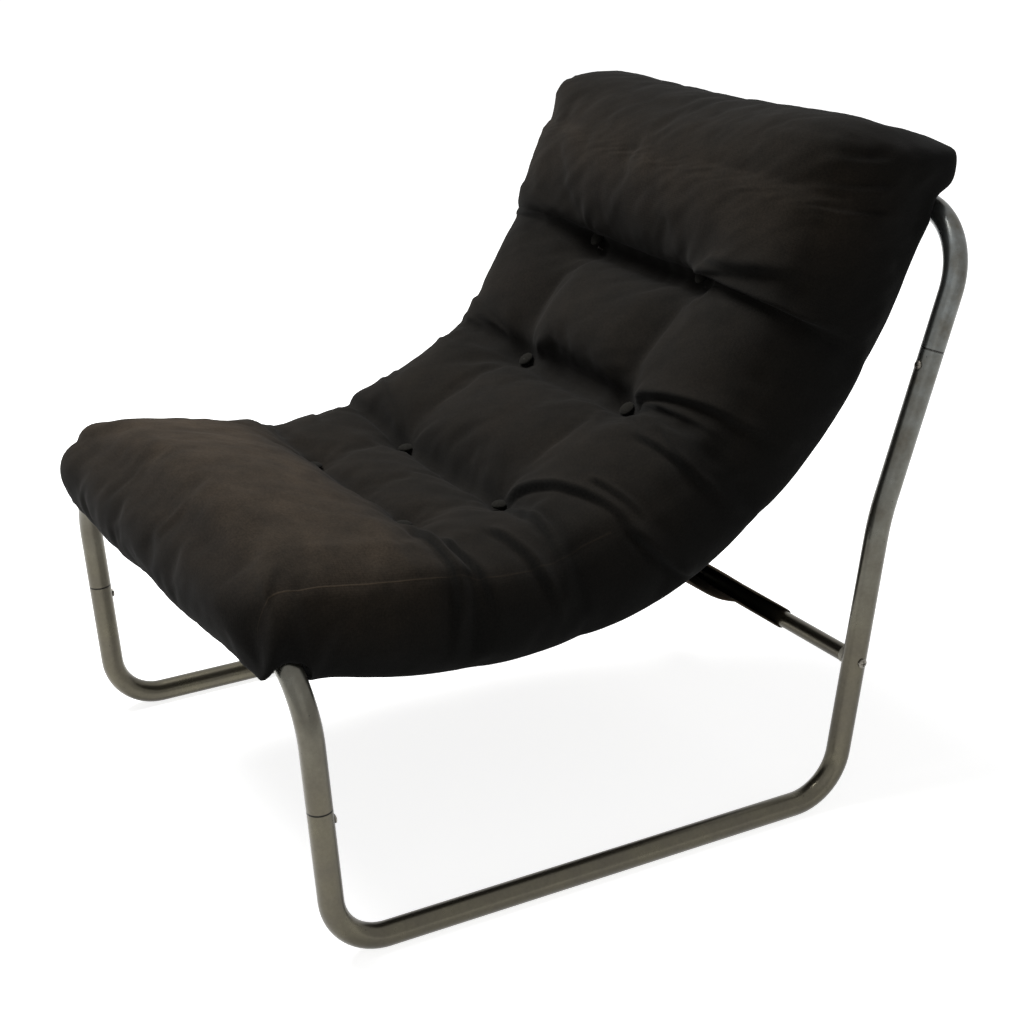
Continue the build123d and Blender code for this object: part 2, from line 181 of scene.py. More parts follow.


# bare drawn steel tube, handled for years: soft gloss, brownish bloom, dark pits, fine scuffs, a painted
# shade ring in each rail joint's gap, and where it has a floor tone, browner and darker towards the floor,
# partly tarnish, and lighter and bluer higher up, partly painted light from above
def steelMaterial(name, clean, tarnish, rough, joints=(), floorTone=None):
    material, tree, shader = newMaterial(name)
    place = addNode(tree, "ShaderNodeTexCoord").outputs["Object"]
    bloomSize, scuffSize, pitSize = 45 * mm, 4 * mm, 14 * mm
    bloom = addNode(tree, "ShaderNodeTexNoise",
                    {"Vector": place, "Scale": 1 / bloomSize, "Detail": 6.0, "Roughness": 0.65})
    scuff = addNode(tree, "ShaderNodeTexNoise",
                    {"Vector": place, "Scale": 1 / scuffSize, "Detail": 4.0, "Roughness": 0.7})
    pits = addNode(tree, "ShaderNodeTexVoronoi", {"Vector": place, "Scale": 1 / pitSize})
    bloomShare = addNode(tree, "ShaderNodeValToRGB",
                         {"Fac": bloom.outputs["Fac"]}, [(0.36, 0.0), (0.68, 1.0)])
    pitShare = addNode(tree, "ShaderNodeValToRGB",
                       {"Fac": pits.outputs["Distance"]}, [(0.03, 0.5), (0.07, 1.0)])
    scuffShare = addNode(tree, "ShaderNodeValToRGB",
                         {"Fac": scuff.outputs["Fac"]}, [(0.25, 0.8), (0.75, 1.0)])
    bare = linear(clean)
    if floorTone:
        # browner and darker below, partly tarnish; the lighter, bluer tone above is partly painted light,
        # the light from above that the upper tube catches
        brownBelow, lighterAbove = 0.18, 0.62
        height = addNode(tree, "ShaderNodeSeparateXYZ", {"Vector": place})
        floorward = addNode(tree, "ShaderNodeMapRange",
                            {"Value": height.outputs["Z"], "From Min": brownBelow, "From Max": lighterAbove,
                             "To Min": 1.0, "To Max": 0.0})
        bare = addNode(tree, "ShaderNodeMix",
                       {0: floorward.outputs["Result"], mixA: linear(clean), mixB: linear(floorTone)},
                       data_type="RGBA").outputs[mixOut]
    tone = addNode(tree, "ShaderNodeMix",
                   {0: bloomShare.outputs["Color"], mixA: bare, mixB: linear(tarnish)}, data_type="RGBA")
    worn = addNode(tree, "ShaderNodeMix",
                   {0: 1.0, mixA: tone.outputs[mixOut], mixB: scuffShare.outputs["Color"]},
                   data_type="RGBA", blend_type="MULTIPLY")
    pitted = addNode(tree, "ShaderNodeMix",
                     {0: 1.0, mixA: worn.outputs[mixOut], mixB: pitShare.outputs["Color"]},
                     data_type="RGBA", blend_type="MULTIPLY")
    # painted shade of the joint gaps: a dark ring round each rail joint
    gapShadeTone = linear("#1c1b19")
    for centre, axis in joints:
        gapShade = jointGapShade(tree, place, centre, axis)
        pitted = addNode(tree, "ShaderNodeMix",
                         {0: gapShade, mixA: pitted.outputs[mixOut], mixB: gapShadeTone}, data_type="RGBA")
    gloss = addNode(tree, "ShaderNodeMapRange",
                    {"Value": bloom.outputs["Fac"], "To Min": rough[0], "To Max": rough[1]})
    grain = addNode(tree, "ShaderNodeBump",
                    {"Height": scuff.outputs["Fac"], "Strength": 0.15, "Distance": 0.2 * mm})
    tree.links.new(pitted.outputs[mixOut], shader.inputs["Base Color"])
    tree.links.new(gloss.outputs["Result"], shader.inputs["Roughness"])
    tree.links.new(grain.outputs["Normal"], shader.inputs["Normal"])
    shader.inputs["Metallic"].default_value = 0.85
    return material


# cotton canvas, dyed black and washed: matt, near black, browner where light and wear have faded it, and
# where the fade-and-shade attribute paints light on tops and leaves painted shade down the sides and in
# creases
def canvasMaterial(name, deep, faded, thread):
    material, tree, shader = newMaterial(name)
    sources = addNode(tree, "ShaderNodeTexCoord").outputs
    place = sources["Object"]
    cloudSize, lintSize = 45 * mm, 2.2 * mm
    cloud = addNode(tree, "ShaderNodeTexNoise",
                    {"Vector": place, "Scale": 1 / cloudSize, "Detail": 6.0, "Roughness": 0.65})
    lint = addNode(tree, "ShaderNodeTexNoise", {"Vector": place, "Scale": 1 / lintSize, "Detail": 3.0})
    # the fade-and-shade attribute: fading, with painted light on tops and painted shade down the sides and
    # in creases
    fadeAndShade = addNode(tree, "ShaderNodeAttribute", attribute_name="fadeAndShade")
    patchy = addNode(tree, "ShaderNodeValToRGB", {"Fac": cloud.outputs["Fac"]}, [(0.3, 0.5), (0.7, 1.0)])
    share = addNode(tree, "ShaderNodeMath",
                    {0: fadeAndShade.outputs["Fac"], 1: patchy.outputs["Color"]}, operation="MULTIPLY")
    tone = addNode(tree, "ShaderNodeMix",
                   {0: share.outputs["Value"], mixA: linear(deep), mixB: linear(faded)}, data_type="RGBA")
    speck = addNode(tree, "ShaderNodeValToRGB", {"Fac": lint.outputs["Fac"]}, [(0.3, 0.62), (0.7, 1.0)])
    flecked = addNode(tree, "ShaderNodeMix",
                      {0: 1.0, mixA: tone.outputs[mixOut], mixB: speck.outputs["Color"]},
                      data_type="RGBA", blend_type="MULTIPLY")
    # a sewn seam: a thin raised line, paler from rubbing, where the seam attribute passes one
    seam = addNode(tree, "ShaderNodeAttribute", attribute_name="seam")
    toSeam = addNode(tree, "ShaderNodeMath", {0: seam.outputs["Fac"], 1: 1.0}, operation="SUBTRACT")
    offSeam = addNode(tree, "ShaderNodeMath", {0: toSeam.outputs["Value"]}, operation="ABSOLUTE")
    ridge = addNode(tree, "ShaderNodeMapRange", {"Value": offSeam.outputs["Value"], "From Min": 0.2 * mm,
                                                 "From Max": 0.9 * mm, "To Min": 1.0, "To Max": 0.0})
    rubbed = addNode(tree, "ShaderNodeMath",
                     {0: ridge.outputs["Result"], 1: fadeAndShade.outputs["Fac"]}, operation="MULTIPLY")
    sewn = addNode(tree, "ShaderNodeMix",
                   {0: rubbed.outputs["Value"], mixA: flecked.outputs[mixOut], mixB: linear(faded)},
                   data_type="RGBA")
    # the real thread is about 0.6 mm, drawn coarser here so that the weave shows
    bandAtScaleOne = 0.314
    weave = []
    for direction in ("X", "Y"):
        threads = addNode(tree, "ShaderNodeTexWave",
                          {"Vector": sources["UV"], "Scale": bandAtScaleOne / thread, "Distortion": 0.8},
                          bands_direction=direction)
        weave.append(threads.outputs["Fac"])
    cross = addNode(tree, "ShaderNodeMath", {0: weave[0], 1: weave[1]}, operation="MAXIMUM")
    rough = addNode(tree, "ShaderNodeMath",
                    {0: cross.outputs["Value"], 1: lint.outputs["Fac"]}, operation="ADD")
    seamHeight = 5.0
    raised = addNode(tree, "ShaderNodeMath", {0: rubbed.outputs["Value"], 1: seamHeight,
                                              2: rough.outputs["Value"]}, operation="MULTIPLY_ADD")
    bump = addNode(tree, "ShaderNodeBump",
                   {"Height": raised.outputs["Value"], "Strength": 0.3, "Distance": 0.3 * mm})
    tree.links.new(sewn.outputs[mixOut], shader.inputs["Base Color"])
    tree.links.new(bump.outputs["Normal"], shader.inputs["Normal"])
    shader.inputs["Roughness"].default_value = 0.95
    shader.inputs["Specular IOR Level"].default_value = 0.05
    shader.inputs["Sheen Weight"].default_value = 0.015
    shader.inputs["Sheen Roughness"].default_value = 0.6
    return material


# dull material of the small pieces: moulded washer, pressed felt, waxed twine
def dullMaterial(name, colour, shade, grit, rough):
    material, tree, shader = newMaterial(name)
    place = addNode(tree, "ShaderNodeTexCoord").outputs["Object"]
    grain = addNode(tree, "ShaderNodeTexNoise", {"Vector": place, "Scale": 1 / grit, "Detail": 4.0})
    tone = addNode(tree, "ShaderNodeMix",
                   {0: grain.outputs["Fac"], mixA: linear(shade), mixB: linear(colour)}, data_type="RGBA")
    bump = addNode(tree, "ShaderNodeBump",
                   {"Height": grain.outputs["Fac"], "Strength": 0.2, "Distance": 0.2 * mm})
    tree.links.new(tone.outputs[mixOut], shader.inputs["Base Color"])
    tree.links.new(bump.outputs["Normal"], shader.inputs["Normal"])
    shader.inputs["Roughness"].default_value = rough
    return material


joints = [
    railJoint("front_rail", frontRail, tube["frontLean"]),
    railJoint("top_rail", topRail, tube["topLean"]),
]
# the lighter clean tone is partly painted light on the upper tube, and the joints carry a painted shade ring
tubeSteel = steelMaterial("bareSteelTube", "#767b7c", "#524e45", (0.22, 0.36), joints, floorTone="#5a5649")
innerSteel = steelMaterial("drawnSteelTube", "#82827e", "#6e6c66", (0.35, 0.5))
screwSteel = steelMaterial("zincPlatedSteel", "#86827a", "#68635a", (0.25, 0.42))
cushionCanvas = canvasMaterial("washedBlackCanvas", "#0e0e0d", "#483e33", 2.0 * mm)
slingCanvas = canvasMaterial("slingCanvas", "#1b1a17", "#37322b", 2.2 * mm)
# the loop's canvas is painted paler and browner than the sling's: painted light on a band that lies in the
# cushion's shade
paintedLightLoopCanvas = canvasMaterial("paintedLightLoopCanvas", "#463e35", "#6e6152", 2.2 * mm)
buttonCanvas = canvasMaterial("buttonCanvas", "#1a1916", "#332f29", 1.4 * mm)
washerPlastic = dullMaterial("mouldedWasher", "#b5b1a4", "#9c988c", 3 * mm, 0.55)
waxedTwine = dullMaterial("waxedTwine", "#2a2723", "#1b1917", 1 * mm, 0.7)
anchorFelt = dullMaterial("pressedFelt", "#33302b", "#211f1c", 1.5 * mm, 0.95)
print("materials made")


# pieces that stay as the CAD has them
cadFinishes = {
    "steel_tube": tubeSteel,
    "spigot_steel": innerSteel,
    "plug_steel": innerSteel,
    "zinc_fasteners": screwSteel,
    "saddle_plastic": washerPlastic,
    "tuft_twine": waxedTwine,
    "anchor_felt": anchorFelt,
}
for part in frame["record"]["subparts"]:
    finish = cadFinishes.get(part["material_slot"])
    if finish:
        node = frame["nodes"][part["node"]]
        node.data.materials.clear()
        node.data.materials.append(finish)
print("CAD pieces finished")


def addPiece(name, bm, material, node):
    mesh = bpy.data.meshes.new(name)
    bm.to_mesh(mesh)
    bm.free()
    piece = bpy.data.objects.new(name, mesh)
    scene.collection.objects.link(piece)
    mesh.materials.append(material)
    mesh.shade_smooth()
    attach(piece, "root")
    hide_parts(node)
    return piece


def ease(value, low, high):
    share = np.clip((value - low) / (high - low), 0.0, 1.0)
    return share * share * (3 - 2 * share)


def bell(value, width):
    return np.exp(-((value / width) ** 2))


# the sling's line in the YZ plane: three tangent arcs between the rails
sling = {
    "sleeve": 13.8 * mm,
    "startAngle": -19.7,
    "seatLow": Vector((297.5, -58.5)) * mm,
    "hip": Vector((-164.0, -234.0)) * mm,
    "width": 430 * mm,
    "thickness": 1.6 * mm,
    "wrap": 280,
    "flap": (22 * mm, 52 * mm),
    "flapPoints": 6,
    "flapGap": 2.0 * mm,
    "step": 6 * mm,
    "columns": 60,
    "ripple": 1.2 * mm,
    "rippleLength": 64 * mm,
    "rippleFrom": 150 * mm,
    "rippleClear": (40 * mm, 90 * mm),
    "stitches": [d * mm for d in (4, 20, 110, -110, -20, -4)],
    "fadeAndShade": 0.5,
}


def slingArcs():
    heading = radians(sling["startAngle"])
    sleeve = sling["sleeve"]
    points = [
        frontRail + Vector((sin(heading), -cos(heading))) * sleeve,
        frontRail + sling["seatLow"],
        topRail + sling["hip"],
    ]
    arcs = []
    for begin, end in zip(points, points[1:]):
        chord = end - begin
        halfTurn = atan2(chord.y, chord.x) - heading
        length = chord.length * halfTurn / sin(halfTurn)
        arcs.append((begin, heading, 2 * halfTurn / length, length))
        heading += 2 * halfTurn
    # the last arc leaves the hip and touches the sleeve round the top rail
    normal = Vector((-sin(heading), cos(heading)))
    toHip = points[2] - topRail
    radius = (toHip.length_squared - sleeve**2) / (2 * (sleeve - normal.dot(toHip)))
    backNormal = (toHip + normal * radius) / (sleeve + radius)
    turn = atan2(-backNormal.x, backNormal.y) - heading
    arcs.append((points[2], heading, 1 / radius, turn * radius))
    return arcs


arcs = slingArcs()
slingLength = sum(arc[3] for arc in arcs)


def onSling(distance, height=0.0):
    for begin, heading, bend, length in arcs:
        if distance <= length:
            break
        distance -= length
    else:
        distance += length
    angle = heading + bend * distance
    moved = Vector((sin(angle) - sin(heading), cos(heading) - cos(angle))) / bend
    return begin + moved + Vector((-sin(angle), cos(angle))) * height, angle


print("sling line", round(slingLength, 4))


# cushion: a boxed mattress in five puffed sections, heights measured from the sling's canvas
cushion = {
    "width": 534 * mm,
    "edges": [d * mm for d in (-15, 205, 331, 560, 745)] + [slingLength + 46 * mm],
    "shoulders": [d * mm for d in (72, 94, 106, 128, 144, 150)],
    "crowns": [d * mm for d in (79, 80, 80, 104, 98, 140)],
    "sectionShoulders": [d * mm for d in (98, 98, 124, 136, 162)],
    "sectionCrowns": [d * mm for d in (114, 100, 130, 145, 174)],
    "puffs": (0.5, 0.8, 0.7, 0.6, 0.5),
    "leads": (0.8, 0.8, 0.7, 0.75, 1.0),
    "sideBulge": 11 * mm,
    "drawIn": 7 * mm,
    "endBulge": (24 * mm, 15 * mm),  # front, top
    "bulgeRise": 0.75,  # the front bulges most towards its upper edge
    "roundness": (3, 2.5),  # of the front end and of the other faces
    "frontLean": 5.5 * mm,
    "shoulderRun": (55 * mm, 100 * mm),  # on the front roll, on the back
    "seamDrop": (15 * mm, 44 * mm),  # the same
    "frontTurn": 80 * mm,
    "topTurn": 70 * mm,
    "topTilt": 12.8,
    "topSkew": (11 * mm, -4 * mm),  # near side, far side
    "topRounding": (7 * mm, 30 * mm),  # inset and run
    "overhang": 15 * mm,
    "overhangAt": (0.13, 0.12),  # place and width, as shares of the headrest
    "overhangLoss": 0.6,  # on the far side
    "bottom": 2.4 * mm,
    "droop": 10 * mm,
    "droopEdge": (-8 * mm, 14 * mm),
    "flapRise": 2 * mm,
    "flapEnd": (50 * mm, 66 * mm),
    # place, width and depth of the places where the sides hang lower or higher
    "sags": [[d * mm for d in sag] for sag in ((170, 110, 5), (725, 90, 6), (865, 45, -5))],
    "farFullness": 0.5,
    "squareness": (8, 24),  # of the near front corner and of the others
    "lipDroop": 13 * mm,
    "lipEdge": (-18 * mm, -6 * mm),
    "topDroop": 20 * mm,
    "topEdge": (-10 * mm, 20 * mm),
    "sleeveGap": 3.2 * mm,
    "sleeveEdge": 6 * mm,
    "railGap": 1.2 * mm,
    "cornerFlare": 20 * mm,
    "flareAt": (10 * mm, 32 * mm),  # place and length
    "flareTop": 0.6,
    "tuft": 105 * mm,
    "dimple": (7 * mm, 20 * mm),  # depth and reach
    "valleys": [d * mm for d in (0, 4, 9, 19, 0)],
    "valleyWidth": 27 * mm,
    "valleyFade": 0.4,
    # fading by light and wear, partly painted light and shade: all over, on the front roll, to its near side
    # (less there, a painted shade), on the headrest, in the rows (less there, a painted shade in the
    # creases)
    "fadeAndShadeWeights": {"all": 0.12, "roll": 0.47, "near": -0.08, "headrest": 0.12, "row": 0.4},
    "rollEnd": (-130 * mm, 60 * mm),
    "headrestStart": (0.0, 120 * mm),
    "grid": 7.6 * mm,
    "heightCuts": 11,
}
rows = cushion["edges"][1:-1]
halfWidth = cushion["width"] / 2


def onCushion(distance, height):
    along = min(max(distance, 0.0), slingLength)
    point, angle = onSling(along)
    if along < cushion["frontTurn"]:
        angle *= along / cushion["frontTurn"]
    turned = (along - slingLength + cushion["topTurn"]) / cushion["topTurn"]
    angle += radians(cushion["topTilt"]) * max(turned, 0.0)
    forward = Vector((cos(angle), sin(angle)))
    return point + forward * (distance - along) + Vector((-forward.y, forward.x)) * height


def puffed(begin, middle, end, share, power):
    puff = max(0.0, 1 - (2 * share - 1) ** 2) ** power
    return begin + (end - begin) * share + (middle - (begin + end) / 2) * puff


# heights and width of the cushion across the sling, at a distance along it
def crossSection(distance):
    edges = cushion["edges"]
    last = len(edges) - 2
    number = min(max(sum(distance > edge for edge in edges) - 1, 0), last)
    share = min(max((distance - edges[number]) / (edges[number + 1] - edges[number]), 0.0), 1.0)
    share **= cushion["leads"][number]
    shoulders = cushion["shoulders"][number : number + 2]
    crowns = cushion["crowns"][number : number + 2]
    drawIns = [cushion["drawIn"] * (edge in rows) for edge in edges[number : number + 2]]
    full = max(0.0, 1 - (2 * share - 1) ** 2)
    power = cushion["puffs"][number]
    inset, run = cushion["topRounding"]
    rounding = inset * (1 - sqrt(1 - min(1.0, max(0.0, 1 - (edges[-1] - distance) / run)) ** 2))
    soft = ease(distance, rows[0], rows[2])
    drawIn = puffed(drawIns[0], 0.0, drawIns[1], share, power)
    overhangAt, overhangWidth = cushion["overhangAt"]
    return {
        "shoulder": puffed(shoulders[0], cushion["sectionShoulders"][number], shoulders[1], share, power),
        "crown": puffed(crowns[0], cushion["sectionCrowns"][number], crowns[1], share, power),
        "base": halfWidth - drawIn - cushion["sideBulge"] - rounding,
        "valley": cushion["valleys"][number] * full ** cushion["valleyFade"],
        "full": full,
        "run": np.interp(soft, (0, 1), cushion["shoulderRun"]),
        "seamDrop": np.interp(soft, (0, 1), cushion["seamDrop"]),
        "lean": cushion["overhang"] * bell(share - overhangAt, overhangWidth) * (number == last),
    }


def topHeight(x, distance, section):
    fuller = 1.0 if x > 0 else cushion["farFullness"]
    run = section["run"] * (1 + fuller) / 2
    flat = section["base"] - run
    if abs(x) < flat:
        height = section["shoulder"] + (section["crown"] - section["shoulder"]) * (1 - (x / flat) ** 2)
    else:
        over = min(1.0, (abs(x) - flat) / run)
        height = section["shoulder"] - section["seamDrop"] * fuller * (1 - sqrt(1 - over**2))
    height -= section["valley"] * bell(abs(x) - cushion["tuft"], cushion["valleyWidth"])
    depth, reach = cushion["dimple"]
    return height - depth * sum(bell(away, reach) for away in toTufts(x, distance))


# distances to the tufts on the same side
def toTufts(x, distance):
    return [sqrt((abs(x) - cushion["tuft"]) ** 2 + (distance - row) ** 2) for row in rows]


# the underside lies on the sling, hangs past it at the sides, and rides over the rails
def bottomHeight(x, distance):
    pastSling = abs(x) - sling["width"] / 2
    beside = ease(pastSling, *cushion["droopEdge"])
    lip = 1 - ease(distance, *cushion["lipEdge"])
    flapped = 1 - ease(distance, *cushion["flapEnd"])
    height = cushion["bottom"] + cushion["flapRise"] * flapped * (1 - beside) - cushion["droop"] * beside
    for place, width, depth in cushion["sags"]:
        height -= depth * beside * bell(distance - place, width)
    height += (-cushion["lipDroop"] - height) * lip
    top = ease(distance - slingLength, *cushion["topEdge"])
    height += (-cushion["topDroop"] - height) * top * beside
    clear = tube["radius"] + cushion["sleeveGap" if pastSling < cushion["sleeveEdge"] else "railGap"]
    start = arcs[0][0]
    frontAway = distance - (frontRail.x - start.x)
    if abs(frontAway) < clear:
        height = max(height, frontRail.y - start.y - railDrop(x) + sqrt(clear**2 - frontAway**2))
    topAway = distance - (slingLength - railDrop(x))
    if abs(topAway) < clear:
        height = max(height, sqrt(clear**2 - topAway**2) - sling["sleeve"])
    return height


# cloth simulation: the cover is a little larger than the filling, swells and buckles between its tufts,
# while the underside, the tufts, the rows and the seams hold it
filling = {
    "pressure": 4.0,
    "growth": 0.012,
    "frames": 20,
    "cap": 9 * mm,
    "stiffness": 12.0,
    "bending": 0.4,
    "tuftReach": 11 * mm,
    "rowReach": 4.5 * mm,
    "rowHold": (0.9, 0.7),  # in the middle, and what of it is lost towards the sides
    "rowEdge": (140 * mm, 210 * mm),
    "seamHold": 0.5,
}
onFace = 0.9999  # a point of the two-unit box past this lies on a face of it


def holdWeight(x, distance, a, b, t):
    onTop = t > onFace
    if t < -onFace or (onTop and min(toTufts(x, distance)) < filling["tuftReach"]):
        return 1.0
    if onTop and min(abs(distance - row) for row in rows) < filling["rowReach"]:
        middle, loss = filling["rowHold"]
        return middle - loss * ease(abs(x), *filling["rowEdge"])
    return filling["seamHold"] if onTop + (abs(a) > onFace) + (abs(b) > onFace) > 1 else 0.0


# fading by light and wear, with painted light and shade: the share grows with height up the sides, so tops
# are painted lighter and sides darker, and it falls off towards the rows, a painted shade in their creases
def fadeAndShadeShare(a, distance, level, full):
    fadeAndShadeWeights = cushion["fadeAndShadeWeights"]
    roll = 1 - ease(distance - rows[0], *cushion["rollEnd"])
    headrest = ease(distance - rows[-1], *cushion["headrestStart"])
    share = fadeAndShadeWeights["all"] + (fadeAndShadeWeights["roll"] + fadeAndShadeWeights["near"] * a) * roll + fadeAndShadeWeights["headrest"] * headrest
    return share * level**2 * (fadeAndShadeWeights["row"] + (1 - fadeAndShadeWeights["row"]) * full)


# a box of two units is cut into a fine grid, and each point of it, a across, b along and t up,
# is moved to its place on the cushion
def makeCushion():
    bm = bmesh.new()
    bmesh.ops.create_cube(bm, size=2)
    edges = cushion["edges"]
    length = edges[-1] - edges[0]
    cuts = (ceil(cushion["width"] / cushion["grid"]), ceil(length / cushion["grid"]), cushion["heightCuts"])
    for axis, count in enumerate(cuts):
        lines = [e for e in bm.edges if abs((e.verts[0].co - e.verts[1].co)[axis]) > 1e-5]
        bmesh.ops.subdivide_edges(bm, edges=lines, cuts=count)
    kept = ("across", "along", "level", "held", "fadeAndShade", "seam")
    layers = {name: bm.verts.layers.float.new(name) for name in kept}
    cloth = bm.loops.layers.uv.new("cloth")
    unit = {vert: vert.co.copy() for vert in bm.verts}
    flareAt, flareLength = cushion["flareAt"]
    flareTop = cushion["flareTop"]
    frontBulge, topBulge = cushion["endBulge"]
    frontRound, sideRound = cushion["roundness"]
    nearSquare, farSquare = cushion["squareness"]
    for vert, (a, b, t) in unit.items():
        distance = edges[0] + (b + 1) / 2 * length
        section = crossSection(distance)
        level = (t + 1) / 2
        flare = cushion["cornerFlare"] * bell(distance - flareAt, flareLength)
        flare *= max(0.0, flareTop - t) / (flareTop + 1)
        x = a * (section["base"] + flare)
        high = topHeight(a * section["base"], distance, section)
        low = bottomHeight(x, distance)
        swell = max(0.0, 1 - abs(t) ** (frontRound if b < -onFace else sideRound))
        across, along = x, distance
        if abs(b) > onFace:
            along += b * (1 - level) * (high - low)
            square = nearSquare if a > 0 > b else farSquare
            bulge = topBulge if b > 0 else -frontBulge * (1 + cushion["bulgeRise"] * t)
            distance += bulge * swell * (1 - abs(a) ** square)
            if b < 0:
                distance += cushion["frontLean"] * t
        if abs(a) > onFace:
            across += a * (1 - level) * (high - low)
            x += a * cushion["sideBulge"] * swell
        distance += cushion["topSkew"][a < 0] * a * ease(distance, rows[-1], edges[-1])
        distance -= section["lean"] * level**2 * (1 - cushion["overhangLoss"] * max(0.0, -a))
        vert.co = (x, *onCushion(distance, low + (high - low) * level))
        vert[layers["across"]] = across
        vert[layers["along"]] = along
        vert[layers["level"]] = level
        vert[layers["held"]] = holdWeight(x, distance, a, b, t)
        vert[layers["fadeAndShade"]] = fadeAndShadeShare(a, distance, level, section["full"])
    for face in bm.faces:
        isEnd = all(abs(unit[v].y) > onFace for v in face.verts)
        for loop in face.loops:
            vert = loop.vert
            across = vert.co.x if isEnd else vert[layers["across"]]
            loop[cloth].uv = (across, vert[layers["along"]])
    return addPiece("mattressCushion", bm, cushionCanvas, "mattress_cushion")


def coordinates(mesh):
    flat = np.empty(len(mesh.vertices) * 3)
    mesh.vertices.foreach_get("co", flat)
    return flat.reshape(-1, 3)


def attribute(mesh, name):
    values = np.empty(len(mesh.vertices))
    mesh.attributes[name].data.foreach_get("value", values)
    return values


def settle(piece):
    before = coordinates(piece.data)
    held = attribute(piece.data, "held").round(2)
    group = piece.vertex_groups.new(name="held")
    for weight in np.unique(held[held > 0]):
        group.add(np.flatnonzero(held == weight).tolist(), float(weight), "REPLACE")
    cloth = piece.modifiers.new("settle", "CLOTH")
    cloth.settings.vertex_group_mass = group.name
    cloth.settings.use_pressure = True
    cloth.settings.uniform_pressure_force = filling["pressure"]
    cloth.settings.shrink_min = -filling["growth"]
    cloth.settings.tension_stiffness = filling["stiffness"]
    cloth.settings.compression_stiffness = filling["stiffness"]
    cloth.settings.bending_stiffness = filling["bending"]
    cloth.settings.effector_weights.gravity = 0.0
    for step in range(1, filling["frames"] + 1):
        scene.frame_set(step)
    after = coordinates(piece.evaluated_get(bpy.context.evaluated_depsgraph_get()).data)
    piece.modifiers.remove(cloth)
    piece.vertex_groups.clear()
    scene.frame_set(1)
    moved = after - before
    reach = np.linalg.norm(moved, axis=1, keepdims=True)
    moved *= np.minimum(1.0, filling["cap"] / np.maximum(reach, 1e-9))
    piece.data.vertices.foreach_set("co", (before + moved).ravel())
    print("cushion settled, most moved", round(float(reach.max()) / mm, 1), "mm")


# one more division, so that the folds have enough points
def refine(piece):
    finer = piece.modifiers.new("finer", "SUBSURF")
    finer.levels = finer.render_levels = 1
    depsgraph = bpy.context.evaluated_depsgraph_get()
    mesh = bpy.data.meshes.new_from_object(piece.evaluated_get(depsgraph), preserve_all_data_layers=True,
                                           depsgraph=depsgraph)
    old = piece.data
    piece.modifiers.remove(finer)
    piece.data = mesh
    mesh.name = old.name
    bpy.data.meshes.remove(old)


# folds of the cover: gathers round the buttons and along the rows, and longer pulls towards the sides
folds = {
    "seed": 7,
    "fan": (0.5 * mm, 34 * mm, 9),  # depth, reach and number round each button
    "fanBend": 0.9,
    "phase": (0, 6),  # range of the random shifts
    "gather": (0.4 * mm, 22 * mm, 37 * mm),  # depth, reach and spacing along each row
    "gatherDrift": (2, 70 * mm),
    "crease": [d * mm for d in (3, 6, 17, 14)],
    "creaseWidth": [d * mm for d in (10, 10, 20, 16)],
    "creaseEnds": ((110 * mm, 180 * mm), (140 * mm, 250 * mm)),  # near side, far side
    "seam": (0.8 * mm, 4.5 * mm),  # depth and width
    "seamEnd": 390 * mm,  # the sewn line shows up to here
    "endReach": 30 * mm,
    "endTurn": 1 * mm,
    "pucker": (0.45 * mm, 16 * mm, 33 * mm),  # depth, reach and spacing along the seams
    "puckerDrift": (3, 60 * mm),
    "frontWrinkle": (2.2 * mm, 30 * mm, 120 * mm),  # depth, width and height
    "frontCalm": (0.85, -150 * mm, 60 * mm),  # share taken off the near part, and where that begins and ends
    "crinkle": (0.9 * mm, 15 * mm, 85 * mm),  # depth, width and length
    "crinkleRise": (0.4, 90 * mm),  # share below the headrest, and the run to the full depth on it
    "noiseLevels": (3.0, 5.0),  # of the front wrinkles and of the crinkles
    "lump": (2.4 * mm, 95 * mm),  # height and size
    "lumpDetail": (0.7, 2.0, 3),
    "upper": (0.03, 0.25),  # the underside stays as it lies, the rest is folded
    "pullRise": (-0.08, 0.12),  # shares of a pull's length
    "pullFall": (0.55, 1.1),
    "pullStep": (2.6, 0.7),  # steepness at its line, and how fast it dies out beside it
    "pullShade": (0.85, 7, 0.5),  # "pullShade": (0.85, 7, 0.5), # painted shade along a pull's crease: share of the fading that a pull this deep takes, and over how much width
    "farShare": 0.35,
    "farSway": 9,
    # row, start and end (across, along from the row), depth and width, in millimetres
    "pulls": [
        (3, (108, 2), (288, 62), 5.0, 12),
        (3, (122, 5), (335, 16), 10.5, 9),
        (3, (150, 30), (262, 48), 4.5, 7),
        (2, (112, 2), (305, 66), 8.5, 9),
        (2, (114, -6), (262, 22), 5.5, 8),
        (2, (190, -52), (320, -24), 6.0, 8),
        (2, (205, -20), (262, -52), 4.5, 7),
        (1, (112, 3), (278, 92), 8.5, 8),
        (1, (258, 76), (385, 150), 10.0, 8),
        (1, (205, 78), (262, 104), 4.5, 6),
        (1, (112, -6), (300, -28), 6.0, 9),
        (0, (150, -22), (335, -28), 7.5, 9),
        (0, (190, -6), (305, 24), 6.5, 8),
        (0, (195, 52), (315, 96), 6.5, 8),
        (0, (262, -214), (226, -188), 2.2, 5),
        (0, (266, -196), (236, -172), 1.6, 5),
        (3, (292, 205), (236, 200), 3.5, 6),
        (3, (300, 180), (232, 172), 3.5, 6),
        (3, (305, 150), (240, 128), 3.0, 7),
    ],
}


